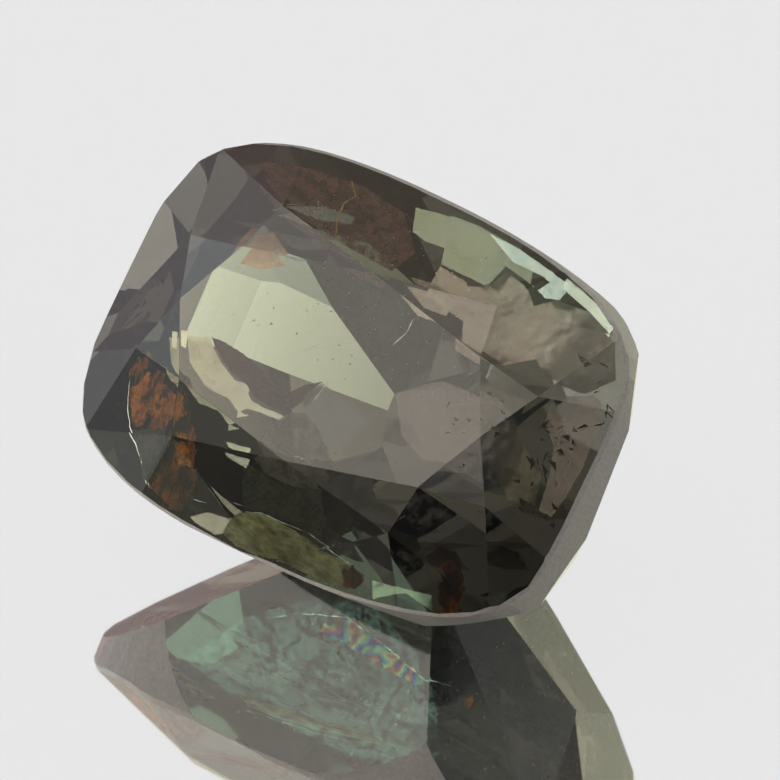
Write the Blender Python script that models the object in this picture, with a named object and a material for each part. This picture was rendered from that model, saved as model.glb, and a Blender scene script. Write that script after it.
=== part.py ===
"""A cut alexandrite: a cushion with a brilliant crown over a deep stepped pavilion, lying on one facet."""
from math import cos, pi, radians, sin

import bmesh
import bpy
import numpy as np
from mathutils import Matrix, Vector

MM = 0.001

# The girdle's outline, seen through the table: X along the stone, Y across it.
HALF_LENGTH = 3.50 * MM
HALF_WIDTH = 2.50 * MM
END_FULLNESS = 2.43
SIDE_FULLNESS = 4.57
END_TAPER = 0.029
GIRDLE_FLATS = 72

# Crown: heights are above the girdle's upper edge, where the breaks of one quarter divide it.
TABLE_HEIGHT = 0.70 * MM
END_MEET = Vector((2.64, 0.76, 0.49)) * MM
SIDE_MEET = Vector((1.63, 1.55, 0.54)) * MM
END_BREAK_Y = 1.02 * MM
CORNER_Y = 1.89 * MM
SIDE_BREAK_X = 1.95 * MM

# Pavilion facets: azimuth from +X and slope from the girdle's plane, in degrees, then the distance
# in mm from the middle of the girdle's upper edge to the facet's plane.
REST_SLOPE = 41.0
REST_DISTANCE = 3.250
PAVILION = (
    (270, REST_SLOPE, REST_DISTANCE),
    (270, 81.0, 2.46),
    (90, 60.0, 2.26),
    (90, 56.0, 2.30),
    (183, 61.0, 3.32),
    (183, 50.0, 3.11),
    (183, 45.0, 3.06),
    (183, 43.0, 3.06),
    (5, 62.5, 3.35),
    (5, 33.0, 3.15),
    (169, 65.0, 3.22),
    (169, 46.5, 3.15),
    (212, 46.5, 2.92),
    (212, 46.0, 2.93),
    (47, 62.0, 3.26),
    (47, 44.5, 2.95),
    (47, 40.5, 3.01),
    (319, 56.5, 3.29),
    (62, 71.5, 3.14),
    (20, 67.0, 3.46),
    (302, 68.5, 3.12),
    (350, 65.5, 3.49),
    (125, 79.5, 3.25),
    (159, 45.0, 3.18),
)

# The rough that the facets are cut from stands this far above and below the girdle's upper edge.
ROUGH_TOP = 1.5 * MM
ROUGH_DEPTH = 6.0 * MM

# Cuts that pass this near to a corner go through it.
MEET_TOLERANCE = 2e-8

STONE_COLOUR = (0.24, 0.25, 0.20, 1.0)


def girdle_point(turn):
    """A point on the cushion's curve, with the +X end a little narrower than the other."""
    x = HALF_LENGTH * np.sign(np.cos(turn)) * np.abs(np.cos(turn)) ** (2.0 / END_FULLNESS)
    y = HALF_WIDTH * np.sign(np.sin(turn)) * np.abs(np.sin(turn)) ** (2.0 / SIDE_FULLNESS)
    return x, y * (1.0 - END_TAPER * x / HALF_LENGTH)


def girdle_corners():
    """Evenly spaced corners round the girdle."""
    x, y = girdle_point(np.linspace(0.0, 2.0 * pi, 20001))
    along = np.concatenate(([0.0], np.cumsum(np.hypot(np.diff(x), np.diff(y)))))
    stations = np.linspace(0.0, along[-1], GIRDLE_FLATS, endpoint=False)
    return zip(np.interp(stations, along, x), np.interp(stations, along, y))


def rough_cushion():
    """A tall prism of the girdle's outline, before any facet is cut."""
    stone = bmesh.new()
    bmesh.ops.create_cone(stone, cap_ends=True, segments=GIRDLE_FLATS, radius1=HALF_LENGTH,
                          radius2=HALF_LENGTH, depth=ROUGH_TOP + ROUGH_DEPTH)
    bmesh.ops.translate(stone, verts=stone.verts, vec=(0.0, 0.0, (ROUGH_TOP - ROUGH_DEPTH) / 2.0))
    corners = list(girdle_corners())
    for layer in (True, False):
        ring = [vert for vert in stone.verts if (vert.co.z > 0.0) == layer]
        ring.sort(key=lambda vert: (np.arctan2(vert.co.y, vert.co.x) + pi / GIRDLE_FLATS) % (2.0 * pi))
        for vert, (x, y) in zip(ring, corners):
            vert.co.x = x
            vert.co.y = y
    return stone


def cut_facet(stone, normal, distance):
    """Grind one flat face: what lies beyond the plane goes, and the cut is closed."""
    everything = stone.verts[:] + stone.edges[:] + stone.faces[:]
    bmesh.ops.bisect_plane(stone, geom=everything, dist=MEET_TOLERANCE, plane_co=normal * distance,
                           plane_no=normal, clear_outer=True)
    rim = [edge for edge in stone.edges if edge.is_boundary]
    if rim:
        bmesh.ops.edgeloop_fill(stone, edges=rim)


def cut_through(stone, first, second, third):
    """Cut the facet that passes through three points."""
    normal = (second - first).cross(third - first).normalized()
    if normal.dot(first) < 0.0:
        normal.negate()
    cut_facet(stone, normal, normal.dot(first))


def quarter_point(point, end, side):
    """A point of the first quarter moved to the quarter with these signs, and tapered."""
    x = point.x * end
    return Vector((x, point.y * side * (1.0 - END_TAPER * x / HALF_LENGTH), point.z))


def up_to_table(foot, meet):
    """Where the line from a point of the girdle through a meet reaches the table."""
    return foot + (meet - foot) * (TABLE_HEIGHT / meet.z)


def cut_crown(stone):
    """Table, eight stars, eight mains and sixteen breaks."""
    end_break_x = HALF_LENGTH * (1.0 - (END_BREAK_Y / HALF_WIDTH) ** SIDE_FULLNESS) ** (1.0 / END_FULLNESS)
    corner_x = HALF_LENGTH * (1.0 - (CORNER_Y / HALF_WIDTH) ** SIDE_FULLNESS) ** (1.0 / END_FULLNESS)
    side_break_y = HALF_WIDTH * (1.0 - (SIDE_BREAK_X / HALF_LENGTH) ** END_FULLNESS) ** (1.0 / SIDE_FULLNESS)
    end = Vector((HALF_LENGTH, 0.0, 0.0))
    end_break = Vector((end_break_x, END_BREAK_Y, 0.0))
    corner = Vector((corner_x, CORNER_Y, 0.0))
    side_break = Vector((SIDE_BREAK_X, side_break_y, 0.0))
    side = Vector((0.0, HALF_WIDTH, 0.0))
    end_tip = up_to_table(end, Vector((END_MEET.x, 0.0, END_MEET.z)))
    corner_tip = up_to_table(corner, (END_MEET + SIDE_MEET) / 2.0)
    side_tip = up_to_table(side, Vector((0.0, SIDE_MEET.y, SIDE_MEET.z)))
    breaks = ((end, end_break, END_MEET), (end_break, corner, END_MEET),
              (corner, side_break, SIDE_MEET), (side_break, side, SIDE_MEET))
    stars = ((END_MEET, end_tip, corner_tip), (SIDE_MEET, corner_tip, side_tip))
    cut_facet(stone, Vector((0.0, 0.0, 1.0)), TABLE_HEIGHT)
    for sign in (1, -1):
        cut_through(stone, quarter_point(end, sign, 1), quarter_point(END_MEET, sign, 1),
                    quarter_point(END_MEET, sign, -1))
        cut_through(stone, quarter_point(side, 1, sign), quarter_point(SIDE_MEET, 1, sign),
                    quarter_point(SIDE_MEET, -1, sign))
    for facet in ((corner, END_MEET, SIDE_MEET),) + breaks + stars:
        for along, across in ((1, 1), (-1, 1), (-1, -1), (1, -1)):
            cut_through(stone, *(quarter_point(point, along, across) for point in facet))


def cut_pavilion(stone):
    """The steps below the girdle, each plane given by its direction and distance."""
    for azimuth, slope, distance in PAVILION:
        turn, tilt = radians(azimuth), radians(slope)
        normal = Vector((cos(turn) * sin(tilt), sin(turn) * sin(tilt), -cos(tilt)))
        cut_facet(stone, normal, distance * MM)


def stone_material():
    """Clear grey-green crystal with a polished surface."""
    material = bpy.data.materials.new("alexandrite")
    material.use_nodes = True
    shader = material.node_tree.nodes["Principled BSDF"]
    shader.inputs["Base Color"].default_value = STONE_COLOUR
    shader.inputs["Roughness"].default_value = 0.02
    shader.inputs["Metallic"].default_value = 0.0
    shader.inputs["IOR"].default_value = 1.75
    shader.inputs["Transmission Weight"].default_value = 1.0
    material.diffuse_color = STONE_COLOUR
    return material


def cut_stone():
    """The stone in its own frame, with the table level."""
    stone = rough_cushion()
    cut_crown(stone)
    cut_pavilion(stone)
    bmesh.ops.remove_doubles(stone, verts=stone.verts, dist=5.0 * MEET_TOLERANCE)
    bmesh.ops.recalc_face_normals(stone, faces=stone.faces)
    mesh = bpy.data.meshes.new("alexandrite")
    stone.to_mesh(mesh)
    stone.free()
    mesh.materials.append(stone_material())
    return bpy.data.objects.new("alexandrite", mesh)


def lay_on_rest(stone):
    """Turn the stone about X until the resting facet is level, and centre it over the origin."""
    stone.rotation_euler = (radians(REST_SLOPE), 0.0, 0.0)
    turned = Matrix.Rotation(radians(REST_SLOPE), 3, "X")
    places = [turned @ vert.co for vert in stone.data.vertices]
    middle_x = (max(place.x for place in places) + min(place.x for place in places)) / 2.0
    middle_y = (max(place.y for place in places) + min(place.y for place in places)) / 2.0
    stone.location = (-middle_x, -middle_y, REST_DISTANCE * MM)


for old in list(bpy.data.objects):
    bpy.data.objects.remove(old)
parts = bpy.data.collections.new("alexandrite")
bpy.context.scene.collection.children.link(parts)
alexandrite = cut_stone()
parts.objects.link(alexandrite)
lay_on_rest(alexandrite)
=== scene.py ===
"""A cut alexandrite lying tilted on a mirror-polished pale sheet, in soft studio light."""
from math import cos, radians, sin

import bmesh
import bpy
from mathutils import Matrix, Vector, noise


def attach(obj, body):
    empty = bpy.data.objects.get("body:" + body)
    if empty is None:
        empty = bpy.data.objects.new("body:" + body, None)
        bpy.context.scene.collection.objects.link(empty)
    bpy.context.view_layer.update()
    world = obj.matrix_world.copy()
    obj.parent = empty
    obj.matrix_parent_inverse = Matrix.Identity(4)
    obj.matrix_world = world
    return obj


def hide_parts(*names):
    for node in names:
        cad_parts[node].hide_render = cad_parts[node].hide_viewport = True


MM = 0.001

# Where the middle of the girdle's upper edge lies, and how far the stone is tipped about X.
GIRDLE_CENTRE = Vector((0.0, -0.3939, 3.250)) * MM
STONE_TILT = radians(41.0)

# The camera looks down at the stone from its front right, from far off through a long lens.
AIM_FROM_GIRDLE = Vector((-1.789, 3.154, -3.248)) * MM
CAMERA_AZIMUTH = radians(36.9)
CAMERA_ELEVATION = radians(40.5)
CAMERA_DISTANCE = 140.0 * MM
CAMERA_ROLL = radians(1.3)
LENS_MM = 509.0
SENSOR_MM = 36.0
NEAREST_SEEN = 1.0 * MM
FURTHEST_SEEN = 10.0

# Soft lamps: azimuth clockwise from +Y, elevation, strength, colour. A separate program chose them from
# a grid of directions and fitted their strengths and colours, so that the stone comes near the
# photograph. A few were then changed.
LAMPS = (
    (359, 46, 1.40, "#F1FFE3"),
    (83, 24, 1.20, "#F9FEFF"),
    (251, 46, 0.92, "#FFFDFD"),
    (251, 24, 0.91, "#DDF2FF"),
    (203, 68, 0.90, "#FFF0DA"),
    (215, 46, 0.71, "#FFF4E4"),
    (263, 6, 0.69, "#FFF0F1"),
    (143, 68, 0.56, "#FBFFE9"),
    (11, 24, 0.56, "#FFF0D5"),
    (227, 24, 0.55, "#FFF9DC"),
    (179, 46, 0.43, "#FCFCFF"),
    (287, 46, 0.49, "#FFE3C0"),
    (59, 24, 0.31, "#FFF7FA"),
    (299, 24, 0.24, "#FFD0EA"),
)
LAMP_FOCUS = 12.0
LIGHT_BOUNCES = 24

# The sheet and the plain backdrop. Up to this depth, a ray that left a slightly rough face is taken
# to be the sheet's own mirror image, which shows the backdrop and not the lamps.
STUDIO_PALE = "#D8D8D9"
SHEET_IMAGE_DEPTH = 2.5
SHEET_SIZE = 2.0
SHEET_GAP = 0.01 * MM
SHEET_ROUGHNESS = 0.035
SHEET_MIRROR_SHARE = 0.95

# Chrysoberyl's refraction and its absorption, which in a mm of path is what the body colour lacks of
# white. The colour, and the directions and tints below, were fitted together with the lamps.
ALEXANDRITE_IOR = 1.75
BODY_COLOUR = "#D4D3D1"
BODY_DENSITY = 1.0 / MM

# The crystal's own three directions, in the stone's frame, and the tint of a facet that faces each.
CRYSTAL_TINTS = (
    ((-0.23, 0.95, -0.21), "#BDFFF6"),
    ((0.09, 0.23, 0.97), "#FFFFFD"),
    ((0.97, 0.20, -0.13), "#FFF1C4"),
)

# The ground girdle: how rough it is, how much light it lets through, the size of its grain, how far
# its upper edge is worn back, and how much the worn edge leans upward.
GROUND_ROUGHNESS = 0.35
GROUND_CLEARNESS = 0.65
GROUND_GRAIN = 0.05 * MM
GIRDLE_WEAR = 0.022 * MM
WEAR_LEAN = 0.6

# Within these, two corners are one, two facets are one plane, a face belongs to the girdle, and a
# corner lies on a cut.
SAME_CORNER = 0.0005 * MM
SAME_PLANE = radians(0.2)
GIRDLE_LEAN = 0.02
ON_CUT = 0.0001 * MM

# A crack's surface, in waves per mm: its swell, and its ripple with its share of the swell's height.
SWELL_WAVES = 1.7
RIPPLE_WAVES = 9.0
RIPPLE_SHARE = 0.2

# A film: its thickness, its ragged edge in waves per mm and that noise's layer, and the cells beyond its
# outline that the edge may reach. The seed keeps the edges and the threads' sway the same in each run.
FILM_THICKNESS = 0.005 * MM
EDGE_WAVES = 10.0
EDGE_LAYER = 3.0
EDGE_MARGIN = 3
NOISE_SEED = 1

# A thread: its sections' distance and its sway in mm, its sway and its changes of thickness in waves per
# mm with each noise's layer, the thickness's middle and swing as shares of its width, the steps by which
# its ends taper, and its six-sided section, across the crack and up from it.
THREAD_STEP = 0.02
THREAD_SWAY = 0.01
SWAY_WAVES = 8.0
SWAY_LAYER = 1.0
THICKNESS_WAVES = 5.0
THICKNESS_LAYER = 7.0
THICKNESS_MIDDLE = 0.75
THICKNESS_SWING = 0.7
THREAD_TAPER = 0.25
THREAD_SECTION = ((1, 0), (0.5, 0.85), (-0.5, 0.85), (-1, 0), (-0.5, -0.85), (0.5, -0.85))

# The size of the patches in each finish, how often the oil colours repeat, how dark the darkest patches
# are, and how thin an open crack gets.
FILM_PATCH = 0.15 * MM
OIL_PATCH = 0.55 * MM
OIL_BANDS = 5.0
GRAIN_PATCH = 0.04 * MM
GRAIN_SHADE = 0.6
CRACK_RIPPLE = 0.3 * MM
CRACK_SHADE = 0.8
CRACK_THINNEST = 0.8

# A grain's largest turn about each axis, in radians.
FULL_TURN = 6.28


def linear(hex_colour):
    """A hex sRGB colour as linear red, green, blue and 1."""
    channels = [int(hex_colour[i:i + 2], 16) / 255.0 for i in (1, 3, 5)]
    return tuple(c / 12.92 if c <= 0.04045 else ((c + 0.055) / 1.055) ** 2.4 for c in channels) + (1.0,)


def shaded(hex_colour, share):
    """A hex sRGB colour darkened to a share of its light."""
    return [channel * share for channel in linear(hex_colour)[:3]] + [1.0]


def fill_inputs(tree, node, inputs):
    """Give a node's sockets values or links."""
    for socket, value in inputs.items():
        if isinstance(value, bpy.types.NodeSocket):
            tree.links.new(value, node.inputs[socket])
        else:
            node.inputs[socket].default_value = value


def add_node(tree, kind, inputs=None, **settings):
    """Add a node, set its properties, and give its sockets values or links."""
    node = tree.nodes.new(kind)
    for name, value in settings.items():
        setattr(node, name, value)
    fill_inputs(tree, node, inputs or {})
    return node


def add_maths(tree, operation, *values):
    """The result of a maths node on up to three values or links."""
    return add_node(tree, "ShaderNodeMath", dict(enumerate(values)), operation=operation).outputs[0]


def lamp_direction(azimuth, elevation):
    """The direction toward a lamp, from its azimuth and elevation."""
    turn, rise = radians(azimuth), radians(elevation)
    return sin(turn) * cos(rise), cos(turn) * cos(rise), sin(rise)


def light_studio():
    """Broad soft lamps round the stone, and a pale backdrop for the eye and for the sheet's own mirror
    image."""
    world = bpy.data.worlds.new("studio")
    bpy.context.scene.world = world
    world.use_nodes = True
    world.cycles.sampling_method = "NONE"
    tree = world.node_tree
    tree.nodes.clear()
    direction = add_node(tree, "ShaderNodeTexCoord").outputs["Generated"]
    total = (0.0, 0.0, 0.0)
    for azimuth, elevation, strength, tint in LAMPS:
        toward = add_node(tree, "ShaderNodeVectorMath",
                          {0: direction, 1: lamp_direction(azimuth, elevation)},
                          operation="DOT_PRODUCT").outputs["Value"]
        narrowed = add_maths(tree, "MULTIPLY_ADD", toward, LAMP_FOCUS, -LAMP_FOCUS)
        glow = add_maths(tree, "EXPONENT", narrowed)
        light = [strength * channel for channel in linear(tint)[:3]]
        total = add_node(tree, "ShaderNodeVectorMath", {0: glow, 1: light, 2: total},
                         operation="MULTIPLY_ADD").outputs[0]
    rays = add_node(tree, "ShaderNodeLightPath").outputs
    early = add_maths(tree, "LESS_THAN", rays["Ray Depth"], SHEET_IMAGE_DEPTH)
    blurred = add_maths(tree, "SUBTRACT", 1.0, rays["Is Singular Ray"])
    off_sheet = add_maths(tree, "MULTIPLY", rays["Is Glossy Ray"], blurred)
    off_sheet = add_maths(tree, "MULTIPLY", off_sheet, early)
    pale = add_maths(tree, "MAXIMUM", off_sheet, rays["Is Camera Ray"])
    colour = add_node(tree, "ShaderNodeMix", {0: pale, 6: total, 7: linear(STUDIO_PALE)},
                      data_type="RGBA")
    background = add_node(tree, "ShaderNodeBackground", {"Color": colour.outputs[2]})
    add_node(tree, "ShaderNodeOutputWorld", {"Surface": background.outputs[0]})


def sheet_material():
    """Mirror-polished pale acrylic: the reflection softens a little with height."""
    material = bpy.data.materials.new("polished_pale_acrylic")
    material.use_nodes = True
    tree = material.node_tree
    tree.nodes.clear()
    pale = add_node(tree, "ShaderNodeBsdfDiffuse", {"Color": linear(STUDIO_PALE)})
    mirror = add_node(tree, "ShaderNodeBsdfGlossy",
                      {"Color": (1.0, 1.0, 1.0, 1.0), "Roughness": SHEET_ROUGHNESS})
    both = add_node(tree, "ShaderNodeMixShader",
                    {0: SHEET_MIRROR_SHARE, 1: pale.outputs[0], 2: mirror.outputs[0]})
    add_node(tree, "ShaderNodeOutputMaterial", {"Surface": both.outputs[0]})
    return material


def lay_sheet():
    """A level sheet just under the stone."""
    bpy.ops.mesh.primitive_plane_add(size=SHEET_SIZE, location=(0.0, 0.0, -SHEET_GAP))
    sheet = bpy.context.object
    sheet.name = "sheet"
    sheet.data.materials.append(sheet_material())


def in_stone(point):
    """A place in the stone's own frame, in mm with the table level, as a place on the sheet."""
    return GIRDLE_CENTRE + Matrix.Rotation(STONE_TILT, 3, "X") @ (Vector(point) * MM)


def stone_turn(direction):
    """A direction in the stone's own frame as one on the sheet."""
    return Matrix.Rotation(STONE_TILT, 3, "X") @ Vector(direction).normalized()


def new_material(name):
    """A material with its node tree and its main shader."""
    material = bpy.data.materials.new(name)
    material.use_nodes = True
    tree = material.node_tree
    return material, tree, tree.nodes["Principled BSDF"]


def object_place(tree):
    """Where a point lies on the piece, in metres."""
    return add_node(tree, "ShaderNodeTexCoord").outputs["Object"]


def patchy(tree, size, **settings):
    """Soft patches of about a size in metres, as a value from 0 to 1."""
    inputs = {"Vector": object_place(tree), "Scale": 1.0 / size, **settings}
    return add_node(tree, "ShaderNodeTexNoise", inputs).outputs[0]


def blend_tones(tree, share, first, second):
    """A colour between two, by a share."""
    return add_node(tree, "ShaderNodeMix", {0: share, 6: first, 7: second}, data_type="RGBA").outputs[2]


def tone_ramp(tree, value, tones):
    """A colour that follows a value through tones at their positions."""
    ramp = add_node(tree, "ShaderNodeValToRGB", {0: value})
    points = ramp.color_ramp.elements
    while len(points) < len(tones):
        points.new(0.5)
    for point, (position, colour) in zip(points, tones):
        point.position = position
        point.color = linear(colour)
    return ramp.outputs[0]


def spread(tree, value, low, high, first, last):
    """A value's stretch from low to high, spread from first to last."""
    return add_node(tree, "ShaderNodeMapRange", {0: value, 1: low, 2: high, 3: first, 4: last}).outputs[0]


def absorb_light(tree):
    """Give a material of the stone its body colour, which deepens with the light's path."""
    absorb = add_node(tree, "ShaderNodeVolumeAbsorption",
                      {"Color": linear(BODY_COLOUR), "Density": BODY_DENSITY})
    fill_inputs(tree, tree.nodes["Material Output"], {"Volume": absorb.outputs[0]})


def polished_alexandrite():
    """Lapped and polished chrysoberyl: sharp reflections, a grey-green body colour, and a tint that turns
    from teal through clear to straw with the way that a facet faces in the crystal."""
    material, tree, shader = new_material("polished_alexandrite")
    facing = add_node(tree, "ShaderNodeAttribute", attribute_name="facet_direction").outputs["Vector"]
    tint = (0.0, 0.0, 0.0)
    for direction, colour in CRYSTAL_TINTS:
        along = add_node(tree, "ShaderNodeVectorMath", {0: facing, 1: stone_turn(direction)},
                         operation="DOT_PRODUCT").outputs["Value"]
        share = add_maths(tree, "MULTIPLY", along, along)
        tint = add_node(tree, "ShaderNodeVectorMath", {0: share, 1: linear(colour)[:3], 2: tint},
                        operation="MULTIPLY_ADD").outputs[0]
    fill_inputs(tree, shader, {"Base Color": tint, "Roughness": 0.0, "IOR": ALEXANDRITE_IOR,
                               "Transmission Weight": 1.0})
    absorb_light(tree)
    return material


def ground_alexandrite():
    """Chrysoberyl left from the lap unpolished: light comes through blurred, with a pale silky sheen."""
    material, tree, shader = new_material("ground_alexandrite")
    grain = patchy(tree, GROUND_GRAIN, Detail=4.0)
    fill_inputs(tree, shader, {"Base Color": blend_tones(tree, grain, linear("#A89C9C"), linear("#ECE4E4")),
                               "Roughness": GROUND_ROUGHNESS, "IOR": ALEXANDRITE_IOR,
                               "Transmission Weight": GROUND_CLEARNESS})
    absorb_light(tree)
    return material


def wear_girdle(shape):
    """Give the girdle its ground finish, and cut its upper edge back a little at each flat."""
    up = stone_turn((0.0, 0.0, 1.0))
    girdle = [face for face in shape.faces if abs(face.normal.dot(up)) < GIRDLE_LEAN]
    worn = []
    for face in girdle:
        face.material_index = 1
        highest = max((vert.co for vert in face.verts), key=up.dot)
        slope = (face.normal + up * WEAR_LEAN).normalized()
        worn.append((highest - slope * GIRDLE_WEAR, slope))
    for place, slope in worn:
        everything = shape.verts[:] + shape.edges[:] + shape.faces[:]
        bmesh.ops.bisect_plane(shape, geom=everything, dist=ON_CUT, plane_co=place, plane_no=slope,
                               clear_outer=True)
        open_edges = [edge for edge in shape.edges if edge.is_boundary]
        bmesh.ops.edgeloop_fill(shape, edges=open_edges, mat_nr=1)


def dress_stone(frame):
    """The solid's own facets, merged and flat, with a ground girdle whose upper edge is worn."""
    mesh = frame["nodes"]["alexandrite"].data.copy()
    mesh.materials.clear()
    mesh.materials.append(polished_alexandrite())
    mesh.materials.append(ground_alexandrite())
    shape = bmesh.new()
    shape.from_mesh(mesh)
    bmesh.ops.remove_doubles(shape, verts=shape.verts, dist=SAME_CORNER)
    bmesh.ops.dissolve_limit(shape, angle_limit=SAME_PLANE, verts=shape.verts, edges=shape.edges)
    wear_girdle(shape)
    shape.to_mesh(mesh)
    shape.free()
    facing = mesh.attributes.new("facet_direction", "FLOAT_VECTOR", "FACE")
    for face in mesh.polygons:
        facing.data[face.index].vector = face.normal
    stone = bpy.data.objects.new("cut_stone", mesh)
    bpy.context.scene.collection.objects.link(stone)
    mesh.shade_flat()
    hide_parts("alexandrite")
    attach(stone, "root")


def inside(outline, u, v):
    """Whether a point lies inside a closed outline."""
    crossings = 0
    for (u1, v1), (u2, v2) in zip(outline, outline[1:] + outline[:1]):
        if (v1 > v) != (v2 > v) and u < u1 + (v - v1) * (u2 - u1) / (v2 - v1):
            crossings += 1
    return crossings % 2 == 1


def crack_plane(centre, facing, along, seed, wave=0.03):
    """A gently wavy surface inside the stone, as a rule from mm along and across it to a place."""
    facing = Vector(facing).normalized()
    along = Vector(along)
    along = (along - facing * facing.dot(along)).normalized()
    across = facing.cross(along)

    def place(u, v, lift=0.0):
        swell = wave * noise.noise(Vector((u * SWELL_WAVES, v * SWELL_WAVES, seed)))
        ripple = RIPPLE_SHARE * wave * noise.noise(Vector((u * RIPPLE_WAVES, v * RIPPLE_WAVES, seed)))
        return in_stone(Vector(centre) + along * u + across * v + facing * (swell + ripple + lift))

    return place


def keep_in_stone(name, mesh):
    """A mesh as a piece that stays in the stone."""
    piece = bpy.data.objects.new(name, mesh)
    bpy.context.scene.collection.objects.link(piece)
    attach(piece, "root")


def finish_piece(name, shape, material):
    """A closed shape as a piece of one material in the stone."""
    bmesh.ops.recalc_face_normals(shape, faces=shape.faces)
    mesh = bpy.data.meshes.new(name)
    shape.to_mesh(mesh)
    shape.free()
    mesh.materials.append(material)
    keep_in_stone(name, mesh)


def grow_film(name, place, outline, material, ragged=0.03, cell=0.015, lift=0.0):
    """A thin mineral film on a crack. The outline is in mm along and across the crack, and its edge is
    ragged."""
    shape = bmesh.new()
    corners = {}
    columns = [int(point[0] // cell) for point in outline]
    rows = [int(point[1] // cell) for point in outline]
    for column in range(min(columns) - EDGE_MARGIN, max(columns) + EDGE_MARGIN + 1):
        for row in range(min(rows) - EDGE_MARGIN, max(rows) + EDGE_MARGIN + 1):
            u, v = (column + 0.5) * cell, (row + 0.5) * cell
            shift = noise.noise_vector(Vector((u * EDGE_WAVES, v * EDGE_WAVES, EDGE_LAYER))) * ragged
            if not inside(outline, u + shift.x, v + shift.y):
                continue
            ring = ((column, row), (column + 1, row), (column + 1, row + 1), (column, row + 1))
            for spot in ring:
                if spot not in corners:
                    corners[spot] = shape.verts.new(place(spot[0] * cell, spot[1] * cell, lift))
            shape.faces.new([corners[spot] for spot in ring])
    bmesh.ops.solidify(shape, geom=shape.faces[:], thickness=FILM_THICKNESS)
    finish_piece(name, shape, material)


def thread_steps(route):
    """Points along a route, at most about one step apart."""
    steps = []
    for (u1, v1), (u2, v2) in zip(route, route[1:]):
        count = max(2, int(((u2 - u1) ** 2 + (v2 - v1) ** 2) ** 0.5 / THREAD_STEP))
        steps += [(u1 + (u2 - u1) * i / count, v1 + (v2 - v1) * i / count) for i in range(count)]
    return steps + [route[-1]]


def grow_thread(name, place, route, width, material, lift=0.0):
    """A fine thread along a route on a crack, its thickness changing as it goes."""
    shape = bmesh.new()
    steps = thread_steps(route)
    last = len(steps) - 1
    rings = []
    for index, (u, v) in enumerate(steps):
        sway = noise.noise_vector(Vector((u * SWAY_WAVES, v * SWAY_WAVES, SWAY_LAYER))) * THREAD_SWAY
        taper = min(1.0, THREAD_TAPER + THREAD_TAPER * index, THREAD_TAPER + THREAD_TAPER * (last - index))
        swing = noise.noise(Vector((u * THICKNESS_WAVES, v * THICKNESS_WAVES, THICKNESS_LAYER)))
        reach = 0.5 * width * taper * (THICKNESS_MIDDLE + THICKNESS_SWING * swing)
        ahead, behind = steps[min(index + 1, last)], steps[max(index - 1, 0)]
        du, dv = ahead[0] - behind[0], ahead[1] - behind[1]
        length = (du * du + dv * dv) ** 0.5
        du, dv = du / length, dv / length
        rings.append([shape.verts.new(place(u + sway.x - dv * reach * side, v + sway.y + du * reach * side,
                                            lift + reach * up))
                      for side, up in THREAD_SECTION])
    sides = len(THREAD_SECTION)
    for first, second in zip(rings, rings[1:]):
        for i in range(sides):
            shape.faces.new((first[i], first[(i + 1) % sides], second[(i + 1) % sides], second[i]))
    shape.faces.new(rings[0])
    shape.faces.new(rings[-1])
    finish_piece(name, shape, material)


def stained_film(name, tones, along, across, roughness, cover, lustre=0.0):
    """A mineral film on a healed crack, or, for the plum lens, a crack painted with the dark reflection
    that
    it shows: patchy and streaked in colour, thinner in places, with a dull to silky face. Along and across
    give a direction and the streaks' size that way, in mm."""
    material, tree, shader = new_material(name)
    place = object_place(tree)
    rows = []
    for direction, spacing in (along, across):
        rows.append(add_node(tree, "ShaderNodeVectorMath",
                             {0: place, 1: stone_turn(direction) / (spacing * MM)},
                             operation="DOT_PRODUCT").outputs["Value"])
    streaked = add_node(tree, "ShaderNodeCombineXYZ", {0: rows[0], 1: rows[1]}).outputs[0]
    streaks = add_node(tree, "ShaderNodeTexNoise", {"Vector": streaked, "Scale": 1.0, "Detail": 6.0,
                                                    "Roughness": 0.55, "Distortion": 0.2}).outputs[0]
    patches = patchy(tree, FILM_PATCH, Detail=5.0, Roughness=0.6)
    dullness = spread(tree, streaks, 0.3, 0.7, roughness - 0.1, roughness + 0.1)
    fill_inputs(tree, shader, {"Base Color": tone_ramp(tree, streaks, tones), "Roughness": dullness,
                               "Metallic": lustre,
                               "Alpha": spread(tree, patches, 0.36, 0.56, cover, 1.0)})
    return material


def oil_coloured_film():
    """An air-filled crack thinner than a hair: light splits in it into bands of colour that follow its
    thickness."""
    material, tree, shader = new_material("oil_coloured_film")
    gap = patchy(tree, OIL_PATCH, Detail=2.0, Distortion=0.5)
    bands = add_maths(tree, "FRACT", add_maths(tree, "MULTIPLY", gap, OIL_BANDS))
    tones = ((0.0, "#FFF6C8"), (0.18, "#F2A03C"), (0.34, "#D2488C"), (0.5, "#3A4AC8"), (0.68, "#4CC8D8"),
             (0.84, "#A8E8A0"), (1.0, "#FFF6C8"))
    fill_inputs(tree, shader, {"Base Color": tone_ramp(tree, bands, tones), "Metallic": 0.6,
                               "Roughness": 0.3, "Alpha": 0.9})
    return material


def silvery_crack(name, colour, cover):
    """An open crack, thin as a hair: the air in it mirrors the light, softly where its faces are
    rippled."""
    material, tree, shader = new_material(name)
    ripple = patchy(tree, CRACK_RIPPLE, Detail=3.0)
    tone = blend_tones(tree, ripple, shaded(colour, CRACK_SHADE), linear(colour))
    fill_inputs(tree, shader, {"Base Color": tone, "Metallic": 1.0,
                               "Roughness": spread(tree, ripple, 0.3, 0.7, 0.1, 0.22),
                               "Alpha": spread(tree, ripple, 0.35, 0.55, CRACK_THINNEST * cover, cover)})
    return material


def mineral_grain(name, colour, roughness):
    """A grain of another mineral, grown whole in the crystal: a plain body colour with slightly darker
    patches."""
    material, tree, shader = new_material(name)
    patches = patchy(tree, GRAIN_PATCH)
    tone = blend_tones(tree, patches, shaded(colour, GRAIN_SHADE), linear(colour))
    fill_inputs(tree, shader, {"Base Color": tone, "Roughness": roughness})
    return material


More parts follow.
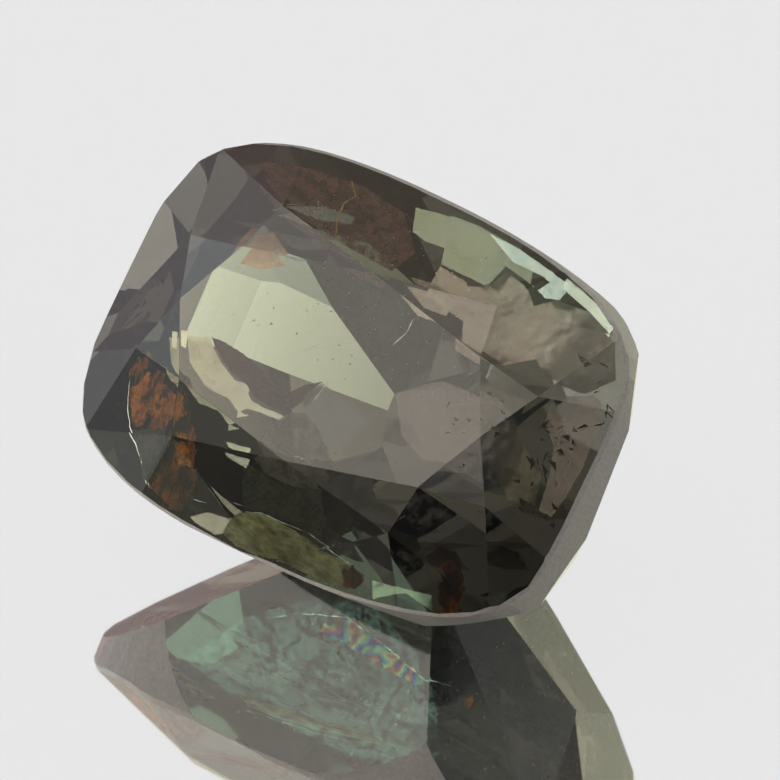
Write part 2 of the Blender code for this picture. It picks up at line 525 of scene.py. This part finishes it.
def grain_cloud_tree():
    """Grains scattered evenly through a block: tiny faceted grains, each turned and sized its own way."""
    tree = bpy.data.node_groups.new("grain_cloud", "GeometryNodeTree")
    for name, kind in (("Count", "NodeSocketInt"), ("Seed", "NodeSocketInt"),
                       ("Low corner", "NodeSocketVector"), ("High corner", "NodeSocketVector"),
                       ("Smallest", "NodeSocketFloat"), ("Largest", "NodeSocketFloat"),
                       ("Stretch", "NodeSocketVector"), ("Corners", "NodeSocketInt"),
                       ("Finish", "NodeSocketMaterial")):
        tree.interface.new_socket(name, in_out="INPUT", socket_type=kind)
    tree.interface.new_socket("Geometry", in_out="OUTPUT", socket_type="NodeSocketGeometry")
    given = add_node(tree, "NodeGroupInput").outputs
    spot = add_node(tree, "FunctionNodeRandomValue",
                    {0: given["Low corner"], 1: given["High corner"], "Seed": given["Seed"]},
                    data_type="FLOAT_VECTOR")
    points = add_node(tree, "GeometryNodePoints", {"Count": given["Count"], "Position": spot.outputs[0]})
    grain = add_node(tree, "GeometryNodeMeshCone", {"Vertices": given["Corners"], "Radius Top": 0.5,
                                                    "Radius Bottom": 1.0, "Depth": 1.0})
    turn = add_node(tree, "FunctionNodeRandomValue",
                    {0: (0.0, 0.0, 0.0), 1: (FULL_TURN, FULL_TURN, FULL_TURN), "Seed": given["Seed"]},
                    data_type="FLOAT_VECTOR")
    size = add_node(tree, "FunctionNodeRandomValue",
                    {2: given["Smallest"], 3: given["Largest"], "Seed": given["Seed"]}, data_type="FLOAT")
    stretched = add_node(tree, "ShaderNodeVectorMath", {0: given["Stretch"], "Scale": size.outputs[1]},
                         operation="SCALE")
    scattered = add_node(tree, "GeometryNodeInstanceOnPoints",
                         {"Points": points.outputs[0], "Instance": grain.outputs[0],
                          "Rotation": turn.outputs[0], "Scale": stretched.outputs[0]})
    whole = add_node(tree, "GeometryNodeRealizeInstances", {0: scattered.outputs[0]})
    coloured = add_node(tree, "GeometryNodeSetMaterial", {"Geometry": whole.outputs[0],
                                                          "Material": given["Finish"]})
    add_node(tree, "NodeGroupOutput", {0: coloured.outputs[0]})
    return tree


def scatter_grains(name, tree, settings):
    """One cloud of grains, from the tree and its named inputs, as a plain mesh in the stone."""
    holder = bpy.data.objects.new(name, bpy.data.meshes.new(name))
    bpy.context.scene.collection.objects.link(holder)
    modifier = holder.modifiers.new("grains", "NODES")
    modifier.node_group = tree
    sockets = {item.name: item.identifier for item in tree.interface.items_tree if item.in_out == "INPUT"}
    for label, value in settings.items():
        modifier[sockets[label]] = value
    bpy.context.view_layer.update()
    ready = holder.evaluated_get(bpy.context.evaluated_depsgraph_get())
    mesh = bpy.data.meshes.new_from_object(ready)
    bpy.data.objects.remove(holder)
    mesh.transform(Matrix.Translation(GIRDLE_CENTRE) @ Matrix.Rotation(STONE_TILT, 4, "X")
                   @ Matrix.Scale(MM, 4))
    mesh.shade_flat()
    keep_in_stone(name, mesh)


# Most outlines, places and facings of the cracks below were worked out by separate programs, from points
# picked by eye on the photograph. They were then rounded, and some were changed. Outlines and routes are
# in mm along and across a crack.


def grow_left_crack():
    """The iron-stained crack at the -X end, with orange blooms, a dark foot and a bright open rim."""
    along, across = ((0.05, 0.99, 0.11), 0.5), ((1.0, 0.0, 0.15), 0.22)
    olive_tones = ((0.32, "#0C0C06"), (0.44, "#2A2410"), (0.5, "#7A5A20"), (0.55, "#E89030"),
                   (0.66, "#544A28"))
    orange_tones = ((0.36, "#7A4A10"), (0.47, "#FFA030"), (0.56, "#E08820"), (0.66, "#8A5A14"))
    brown_tones = ((0.35, "#3A2408"), (0.5, "#8A5414"), (0.62, "#D88420"))
    olive = stained_film("olive_stain", olive_tones, along, across, 0.5, 0.9, lustre=0.3)
    orange = stained_film("orange_rust", orange_tones, along, across, 0.4, 0.1, lustre=0.5)
    brown = stained_film("red_brown_rust", brown_tones, along, across, 0.45, 0.3, lustre=0.5)
    pale = stained_film("grey_stain", ((0.35, "#6C6656"), (0.6, "#98927E")), along, across, 0.4, 0.85)
    open_rim = silvery_crack("open_rim", "#FFFFFF", 1.0)
    crack = crack_plane((-2.02, -1.37, -0.30), (-0.15, -0.10, 0.98), (0.05, 0.99, 0.11), wave=0.03, seed=1)
    grow_film("iron_stained_crack", crack,
              [(0.66, 0.58), (0.60, 0.28), (0.55, -0.08), (0.32, -0.28), (0.01, -0.56), (-0.21, -0.60),
               (-0.24, -0.71), (-0.46, -0.70), (-0.62, -0.77), (-0.84, -0.67), (-0.84, -0.51),
               (-0.74, -0.11), (-0.50, 0.08), (-0.29, 0.32), (-0.02, 0.55), (0.18, 0.62), (0.36, 0.74),
               (0.60, 0.69)], olive, ragged=0.02)
    grow_film("upper_bloom", crack,
              [(0.36, 0.26), (0.50, 0.10), (0.44, -0.10), (0.27, -0.26), (0.12, -0.20), (-0.06, -0.12),
               (-0.04, 0.06), (0.12, 0.22)], orange, ragged=0.04, lift=0.03)
    grow_film("side_bloom", crack,
              [(0.21, 0.59), (0.34, 0.47), (0.52, 0.47), (0.51, 0.41), (0.30, 0.33), (0.14, 0.16),
               (-0.12, 0.21), (-0.19, 0.29), (-0.11, 0.42), (0.10, 0.57)], orange, ragged=0.04, lift=0.03)
    grow_film("lower_bloom", crack,
              [(-0.03, -0.23), (0.01, -0.36), (-0.11, -0.55), (-0.20, -0.58), (-0.29, -0.48),
               (-0.26, -0.38), (-0.09, -0.32), (0.02, -0.23)], orange, ragged=0.05, lift=0.03)
    grow_film("rusty_foot", crack,
              [(-0.63, -0.12), (-0.32, -0.26), (-0.30, -0.42), (-0.25, -0.63), (-0.30, -0.75),
               (-0.49, -0.65), (-0.71, -0.69), (-0.87, -0.63), (-0.86, -0.49), (-0.78, -0.21)], brown,
              ragged=0.05, lift=0.03)
    grow_film("grey_corner", crack,
              [(-0.25, 0.33), (0.0, -0.18), (-0.07, -0.20), (-0.73, -0.06), (-0.52, 0.10)], pale,
              ragged=0.01, lift=0.04)
    grow_thread("open_rim", crack, [(0.29, 0.67), (0.09, 0.60), (-0.03, 0.54), (-0.23, 0.40),
                                    (-0.31, 0.27), (-0.51, 0.07), (-0.75, -0.12)],
                0.022, open_rim, lift=0.04)


def grow_bright_cracks():
    """Open cracks lying nearly level with the crown's facets, which flash like small mirrors."""
    cream = silvery_crack("cream_mirror", "#FFFFEC", 0.97)
    aqua = silvery_crack("aqua_mirror", "#EEFAF0", 0.95)
    green = silvery_crack("pale_green_mirror", "#C0C6AC", 0.8)
    rose = silvery_crack("rose_mirror", "#CCC0B0", 0.8)
    smoke = silvery_crack("smoke_mirror", "#808484", 0.6)
    tan = silvery_crack("tan_mirror", "#DCBCA0", 0.9)
    mauve = silvery_crack("mauve_mirror", "#8E8482", 0.55)
    wedge = silvery_crack("brown_green_mirror", "#7C7660", 0.6)
    teal = silvery_crack("teal_mirror", "#8C9490", 0.5)
    grey_green = silvery_crack("grey_green_mirror", "#DCC8BC", 0.9)
    brown = stained_film("red_brown_streaks", ((0.25, "#484A46"), (0.5, "#6C4840"), (0.75, "#464846")),
                         ((0.98, -0.2, 0.0), 1.4), ((0.2, 0.98, 0.0), 0.12), 0.3, 0.3, lustre=0.95)
    level, upper, lower = (-0.05, 0.01, 1.0), (-0.04, 0.31, 0.95), (0.0, -0.26, 0.96)
    for name, centre, facing, finish, outline in (
            ("window_edge", (-1.55, -0.88, -0.94), level, cream,
             [(-0.88, 0.53), (-0.68, 0.24), (-0.28, 0.03), (0.01, 0.05), (0.22, -0.05), (0.40, -0.04),
              (0.26, -0.13), (0.23, -0.07), (0.34, 0.03), (0.55, 0.05), (0.85, 0.06), (0.89, 0.13),
              (0.71, 0.13), (0.51, 0.12), (0.34, 0.14), (0.25, 0.20), (0.23, 0.30), (0.0, 0.28),
              (-0.27, 0.40), (-0.44, 0.51), (-0.58, 0.63)]),
            ("bright_sliver", (-0.88, -1.23, -0.35), level, cream,
             [(-0.24, 0.01), (0.13, 0.06), (0.12, -0.07), (-0.17, -0.04)]),
            ("bright_hook", (-2.21, -0.43, -0.17), level, cream,
             [(-0.10, 0.10), (-0.01, 0.12), (0.07, -0.08), (-0.01, -0.08)]),
            ("aqua_corner", (-0.99, -2.15, -0.47), lower, grey_green,
             [(-0.33, -0.06), (-0.10, 0.11), (0.26, 0.16), (0.21, -0.05), (0.08, -0.13), (-0.24, -0.10)]),
            ("aqua_sliver", (-1.02, -1.79, -0.66), lower, grey_green,
             [(-0.26, 0.16), (-0.08, 0.09), (0.31, -0.01), (0.23, -0.09), (0.04, -0.02)]),
            ("green_steps", (0.61, 1.93, -0.52), upper, green,
             [(-0.99, 0.16), (-0.57, 0.23), (-0.13, 0.27), (0.53, 0.22), (0.80, 0.13), (0.95, -0.17),
              (0.52, -0.09), (0.49, -0.44), (-0.21, -0.42), (-0.30, -0.20), (-0.60, -0.22),
              (-0.81, -0.17)]),
            ("aqua_strip", (1.66, 1.99, -0.43), upper, aqua,
             [(-0.97, 0.20), (-0.50, 0.18), (0.01, 0.09), (0.33, 0.06), (0.31, -0.19), (0.13, -0.26),
              (-0.01, -0.21), (0.06, -0.03), (-0.47, -0.03)]),
            ("top_veil", (-1.31, 1.60, -0.52), upper, brown,
             [(-1.20, 0.22), (-0.57, 0.36), (0.19, 0.42), (0.84, 0.34), (1.32, -0.11), (1.21, -0.48),
              (0.56, -0.43), (-0.32, -0.32), (-0.92, -0.04)]),
            ("tan_cap", (-1.88, 0.98, -0.46), level, tan,
             [(-0.17, -0.25), (-0.11, 0.02), (0.08, 0.13), (0.41, -0.05), (0.13, -0.22)]),
            ("teal_bar", (-1.67, 1.14, -0.52), level, teal,
             [(-0.67, -0.13), (-0.22, -0.03), (0.27, 0.06), (0.60, 0.17), (0.64, 0.05), (0.30, -0.10),
              (-0.28, -0.14)]),
            ("upper_teal_bar", (-1.41, 1.45, -0.46), upper, teal,
             [(-0.47, -0.11), (-0.07, 0.10), (0.41, 0.17), (0.45, 0.05), (0.03, -0.09)]),
            ("beige_bar", (0.52, 1.15, -0.29), level, rose,
             [(-0.35, 0.05), (-0.03, 0.11), (0.33, 0.06), (0.33, -0.08), (0.01, -0.11)]),
            ("aqua_end", (2.36, 1.96, -0.42), (0.08, 0.29, 0.95), aqua,
             [(-0.48, 0.16), (0.02, 0.04), (0.40, -0.16), (0.40, -0.24), (0.02, -0.11), (-0.44, 0.0)]),
            ("rose_panel", (1.73, 1.33, -0.50), upper, rose,
             [(-1.34, 0.13), (-0.88, 0.05), (-0.68, 0.15), (-0.61, 0.42), (-0.29, 0.36), (-0.1, 0.2),
              (0.09, 0.42), (0.55, 0.48), (1.00, 0.38), (1.30, -0.05), (1.05, -0.40), (0.52, -0.45),
              (0.3, -0.3), (-0.02, -0.56), (-0.55, -0.50), (-0.7, -0.25), (-1.15, -0.19)]),
            ("rose_step", (0.61, 1.26, -0.58), upper, rose,
             [(-0.27, 0.19), (0.17, 0.14), (0.28, -0.01), (0.0, -0.04), (-0.22, -0.11)]),
            ("mauve_end", (3.00, 0.31, -0.64), (0.29, 0.07, 0.95), mauve,
             [(-0.70, 0.42), (-0.23, 0.68), (0.0, 0.56), (-0.03, 0.34), (0.02, -0.13), (0.0, -0.50),
              (-0.04, -0.80), (-0.22, -0.80), (-0.30, -0.35), (-0.42, -0.02), (-0.66, 0.20)]),
            ("lilac_middle", (1.60, -0.03, -0.42), level, mauve,
             [(-0.94, 0.10), (-0.55, 0.40), (-0.39, 0.48), (0.19, 0.50), (0.50, 0.40), (0.60, 0.03),
              (0.60, -0.40), (0.27, -0.36), (-0.21, -0.50), (-0.60, -0.34)]),
            ("brown_wedge", (2.20, -0.15, -0.60), (0.15, 0.08, 0.99), wedge,
             [(-0.35, 0.37), (-0.16, 0.39), (0.35, 0.07), (0.45, -0.28), (0.11, -0.38), (-0.31, -0.06)]),
            ("green_foot", (1.86, -2.07, -0.33), lower, green,
             [(-0.48, 0.10), (-0.12, 0.14), (0.31, 0.20), (0.38, 0.01), (-0.05, 0.10), (-0.41, -0.14)]),
            ("smoky_panel", (-0.15, -0.50, -0.94), level, smoke,
             [(-0.59, 0.05), (-0.30, 0.33), (0.53, 0.13), (0.32, -0.25), (0.21, -0.43), (-0.09, -0.25),
              (-0.30, -0.06)])):
        crack = crack_plane(centre, facing, (1.0, 0.0, 0.0), wave=0.01, seed=9)
        grow_film(name, crack, outline, finish, ragged=0.006, cell=0.01)


def grow_middle_cracks():
    """Under the table: a crack lens whose dark plum colour is a painted reflection, a lilac petal, three
    silvery wisps and a dark olive veil.
    """
    # The plum lens is a real crack, but its dark plum colour is painted: it stands in for the dark
    # reflection that the crack shows.
    plum = stained_film("plum_lens_painted_reflection", ((0.3, "#7E2624"), (0.6, "#903A38")),
                        ((0.96, 0.0, -0.27), 0.8), ((0.0, 1.0, 0.0), 0.25), 0.3, 0.97)
    lilac = stained_film("lilac_veil", ((0.3, "#A08C86"), (0.6, "#C4B2AC")),
                         ((0.96, 0.0, -0.27), 0.8), ((0.0, 1.0, 0.0), 0.25), 0.3, 0.5)
    dark_olive = stained_film("dark_olive_veil", ((0.3, "#4E4C38"), (0.6, "#78745A")),
                              ((0.99, 0.05, -0.14), 0.4), ((0.0, 1.0, 0.0), 0.4), 0.45, 0.6)
    middle = crack_plane((-1.10, -0.43, -0.65), (0.27, -0.02, 0.96), (0.96, 0.01, -0.27), wave=0.02, seed=2)
    grow_film("plum_lens_painted_reflection", middle,
              [(-0.88, 0.19), (-0.73, 0.20), (-0.42, 0.17), (-0.15, 0.09), (0.15, 0.0), (0.36, -0.05),
               (0.52, 0.13), (0.71, 0.25), (0.60, 0.05), (0.58, -0.08), (0.47, -0.26), (0.29, -0.29),
               (0.10, -0.28), (-0.06, -0.25), (-0.17, -0.17), (-0.27, -0.14), (-0.44, -0.10),
               (-0.64, 0.01), (-0.78, 0.10)], plum, ragged=0.003, cell=0.01)
    petal = crack_plane((-0.39, -0.91, -0.84), (0.07, 0.06, 1.0), (1.0, 0.0, 0.0), wave=0.02, seed=8)
    grow_film("lilac_petal", petal,
              [(-0.44, -0.10), (-0.27, 0.21), (-0.06, 0.31), (0.20, 0.18), (0.57, -0.11), (0.37, -0.20),
               (-0.02, -0.23), (-0.22, -0.23)], lilac, ragged=0.01)
    wisp = silvery_crack("wisp_mirror", "#FFFFFF", 0.4)
    for name, centre, route in (
            ("wisp", (-0.59, 0.11, -0.26), [(-0.15, -0.13), (-0.02, 0.03), (0.15, 0.14)]),
            ("near_wisp", (-0.33, -0.29, -0.70), [(-0.04, -0.15), (0.03, 0.16)]),
            ("far_wisp", (0.50, 0.78, -0.17), [(-0.08, -0.20), (0.02, 0.0), (0.03, 0.20)])):
        crack = crack_plane(centre, (-0.05, 0.01, 1.0), (1.0, 0.0, 0.0), seed=11)
        grow_thread(name, crack, route, 0.03, wisp)
    back = crack_plane((-0.28, -1.23, -0.78), (0.15, -0.2, 0.97), (0.99, 0.05, -0.15), wave=0.03, seed=10)
    grow_film("dark_olive_veil", back,
              [(-0.46, 0.11), (-0.28, 0.05), (0.10, 0.08), (0.29, 0.17), (0.49, 0.20), (0.57, -0.04),
               (0.70, -0.22), (1.08, -0.27), (1.26, -0.41), (0.68, -0.47), (0.06, -0.36), (-0.49, -0.46),
               (-0.58, -0.15), (-0.62, 0.11)], dark_olive, ragged=0.02)


def grow_lower_crack(rim):
    """The olive mineral film along the lower edge, with its bright rim and two short lines beside it."""
    olive = stained_film("olive_mineral_film",
                         ((0.3, "#A07A44"), (0.42, "#D0BC84"), (0.55, "#FFF0BC"), (0.68, "#C8A868")),
                         ((0.99, 0.05, -0.14), 0.4), ((0.0, 1.0, 0.0), 0.15), 0.45, 0.85, lustre=0.65)
    lower = crack_plane((0.17, -1.93, -0.54), (0.15, -0.35, 0.92), (0.99, 0.05, -0.14), wave=0.03, seed=3)
    grow_film("olive_mineral_film", lower,
              [(-0.99, -0.24), (-0.93, -0.04), (-0.81, 0.11), (-0.54, 0.20), (-0.24, 0.20), (0.11, 0.15),
               (0.35, 0.11), (0.65, 0.10), (0.99, 0.04), (0.99, -0.07), (0.81, -0.25), (0.38, -0.28),
               (-0.10, -0.26), (-0.39, -0.33), (-0.78, -0.33)], olive, ragged=0.012)
    for name, route in (
            ("olive_rim", [(-0.77, 0.13), (-0.54, 0.21), (-0.24, 0.21), (0.14, 0.22), (0.45, 0.16),
                           (0.80, 0.09)]),
            ("short_line", [(-1.54, 0.0), (-1.29, 0.04)]),
            ("shorter_line", [(-0.97, 0.18), (-0.78, 0.19)])):
        grow_thread(name, lower, route, 0.018, rim, lift=0.03)


def grow_small_stains():
    """Two patches of rust low on the right, and a golden rutile thread high on the left."""
    rust = stained_film("rust", ((0.35, "#4A2410"), (0.5, "#8E4416"), (0.62, "#E07A20")),
                        ((0.05, 0.99, 0.14), 0.4), ((1.0, 0.0, -0.3), 0.2), 0.5, 0.9)
    right_end = crack_plane((2.34, -1.67, -0.40), (0.4, -0.2, 0.9), (0.08, 0.98, 0.18), seed=4)
    grow_film("rust_patch", right_end,
              [(0.14, 0.25), (0.28, 0.17), (0.20, -0.01), (0.0, -0.15), (-0.22, -0.17), (-0.34, -0.02),
               (-0.16, 0.13), (0.04, 0.19)], rust, ragged=0.06)
    tip = crack_plane((1.11, -2.07, -0.34), (0.3, -0.3, 0.9), (0.95, 0.1, -0.29), seed=5)
    grow_film("rust_tip", tip, [(-0.15, 0.06), (-0.05, 0.16), (0.14, 0.10), (0.09, -0.11), (-0.06, -0.15)],
              rust, ragged=0.05)
    upper = crack_plane((-1.09, 1.79, -0.12), (0.2, 0.2, 0.96), (-0.04, 0.98, -0.2), seed=6)
    grow_thread("rutile_thread", upper,
                [(0.36, 0.11), (0.16, -0.06), (0.01, 0.02), (-0.23, -0.03), (-0.45, -0.13)],
                0.03, mineral_grain("golden_rutile", "#E0B050", 0.3))


def grow_front_crack(rim):
    """The steep crack behind the front wall, which the sheet mirrors: rainbow colours, a green veil and a
    long bright line."""
    front = crack_plane((0.50, -1.92, -1.70), (0.0, -0.99, -0.12), (1.0, 0.0, 0.0), wave=0.06, seed=7)
    grow_film("oil_coloured_film", front,
              [(-0.77, 0.05), (-0.57, -0.20), (-0.27, -0.27), (0.08, -0.14), (0.48, -0.04), (0.85, 0.03),
               (0.82, 0.15), (0.42, 0.15), (0.0, 0.11), (-0.36, 0.04), (-0.61, 0.15)], oil_coloured_film(),
              ragged=0.05)
    grow_film("green_veil", front,
              [(-2.3, 1.1), (-1.5, 1.25), (-0.4, 1.3), (0.6, 1.3), (1.4, 1.0), (1.1, 0.4), (0.6, -0.2),
               (-0.2, -0.5), (-1.0, -0.3), (-1.8, 0.3)],
              silvery_crack("green_veil", "#B4C8BC", 0.22), cell=0.02, lift=-0.06)
    grow_thread("long_crack", front, [(-1.57, 0.25), (-1.10, -0.03), (-0.49, -0.24), (0.27, -0.10),
                                      (0.88, 0.05), (1.20, -0.02)], 0.02, rim, lift=0.03)


def grow_cracks():
    """All cracks in the stone."""
    rim = silvery_crack("bright_edge", "#FFFFF0", 1.0)
    grow_left_crack()
    grow_bright_cracks()
    grow_middle_cracks()
    grow_lower_crack(rim)
    grow_small_stains()
    grow_front_crack(rim)


def grow_grains():
    """Pale pinpoints and dark dust through the stone, plum-coloured flakes towards its right end, and one
    orange crystal."""
    tree = grain_cloud_tree()
    pale = mineral_grain("pale_pinpoints", "#FFFFFF", 0.3)
    dark = mineral_grain("dark_grains", "#2A1C1A", 0.6)
    plum = mineral_grain("plum_flakes", "#4A2C2E", 0.6)
    orange = mineral_grain("orange_crystal", "#F07820", 0.25)
    for name, count, seed, low, high, sizes, stretch, corners, finish in (
            ("pinpoints", 110, 5, (-1.7, 0.1, -1.3), (1.3, 1.9, 0.1), (0.004, 0.014), (1.0, 1.0, 1.0), 6,
             pale),
            ("dust", 30, 8, (-1.9, -1.6, -1.4), (0.9, 0.4, -0.1), (0.003, 0.009), (1.0, 1.0, 3.0), 6, dark),
            ("middle_flakes", 16, 2, (1.3, -0.4, -0.3), (2.1, 0.5, 0.0), (0.02, 0.05), (1.0, 1.6, 0.2), 3,
             plum),
            ("right_flakes", 44, 3, (2.3, -0.6, -0.8), (3.0, 1.4, -0.4), (0.02, 0.07), (1.0, 1.6, 0.2), 3,
             plum),
            ("orange_crystal", 1, 1, (1.85, -1.70, -1.60), (1.87, -1.68, -1.58), (0.07, 0.075),
             (1.3, 0.8, 1.0), 5, orange)):
        scatter_grains(name, tree, {"Count": count, "Seed": seed, "Low corner": low, "High corner": high,
                                    "Smallest": sizes[0], "Largest": sizes[1], "Stretch": stretch,
                                    "Corners": corners, "Finish": finish})


def set_camera():
    """A camera at the photograph's viewing angle, rolled a little, with a long lens."""
    data = bpy.data.cameras.new("camera")
    camera = bpy.data.objects.new("camera", data)
    bpy.context.scene.collection.objects.link(camera)
    bpy.context.scene.camera = camera
    back = Vector((sin(CAMERA_AZIMUTH) * cos(CAMERA_ELEVATION),
                   -cos(CAMERA_AZIMUTH) * cos(CAMERA_ELEVATION), sin(CAMERA_ELEVATION)))
    aim = GIRDLE_CENTRE + AIM_FROM_GIRDLE
    camera.location = aim + back * CAMERA_DISTANCE
    upright = (-back).to_track_quat("-Z", "Y").to_matrix()
    camera.rotation_euler = (upright @ Matrix.Rotation(-CAMERA_ROLL, 3, "Z")).to_euler()
    data.lens = LENS_MM
    data.sensor_width = SENSOR_MM
    data.clip_start = NEAREST_SEEN
    data.clip_end = FURTHEST_SEEN


def set_picture():
    """Enough bounces for light to find its way out of the stone, and a contrast like the photograph's."""
    scene = bpy.context.scene
    scene.cycles.max_bounces = LIGHT_BOUNCES
    scene.cycles.glossy_bounces = LIGHT_BOUNCES
    scene.cycles.transmission_bounces = LIGHT_BOUNCES
    scene.cycles.sampling_pattern = "TABULATED_SOBOL"
    scene.cycles.use_denoising = True
    scene.view_settings.view_transform = "Standard"
    scene.view_settings.look = "Medium High Contrast"


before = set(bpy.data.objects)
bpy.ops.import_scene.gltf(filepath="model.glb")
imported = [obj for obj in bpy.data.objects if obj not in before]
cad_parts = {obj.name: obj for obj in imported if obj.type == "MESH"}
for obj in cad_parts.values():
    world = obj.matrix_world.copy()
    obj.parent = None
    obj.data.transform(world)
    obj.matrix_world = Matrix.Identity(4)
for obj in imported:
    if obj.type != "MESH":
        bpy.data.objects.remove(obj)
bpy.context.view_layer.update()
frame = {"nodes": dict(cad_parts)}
noise.seed_set(NOISE_SEED)
set_picture()
light_studio()
lay_sheet()
dress_stone(frame)
grow_cracks()
grow_grains()
set_camera()
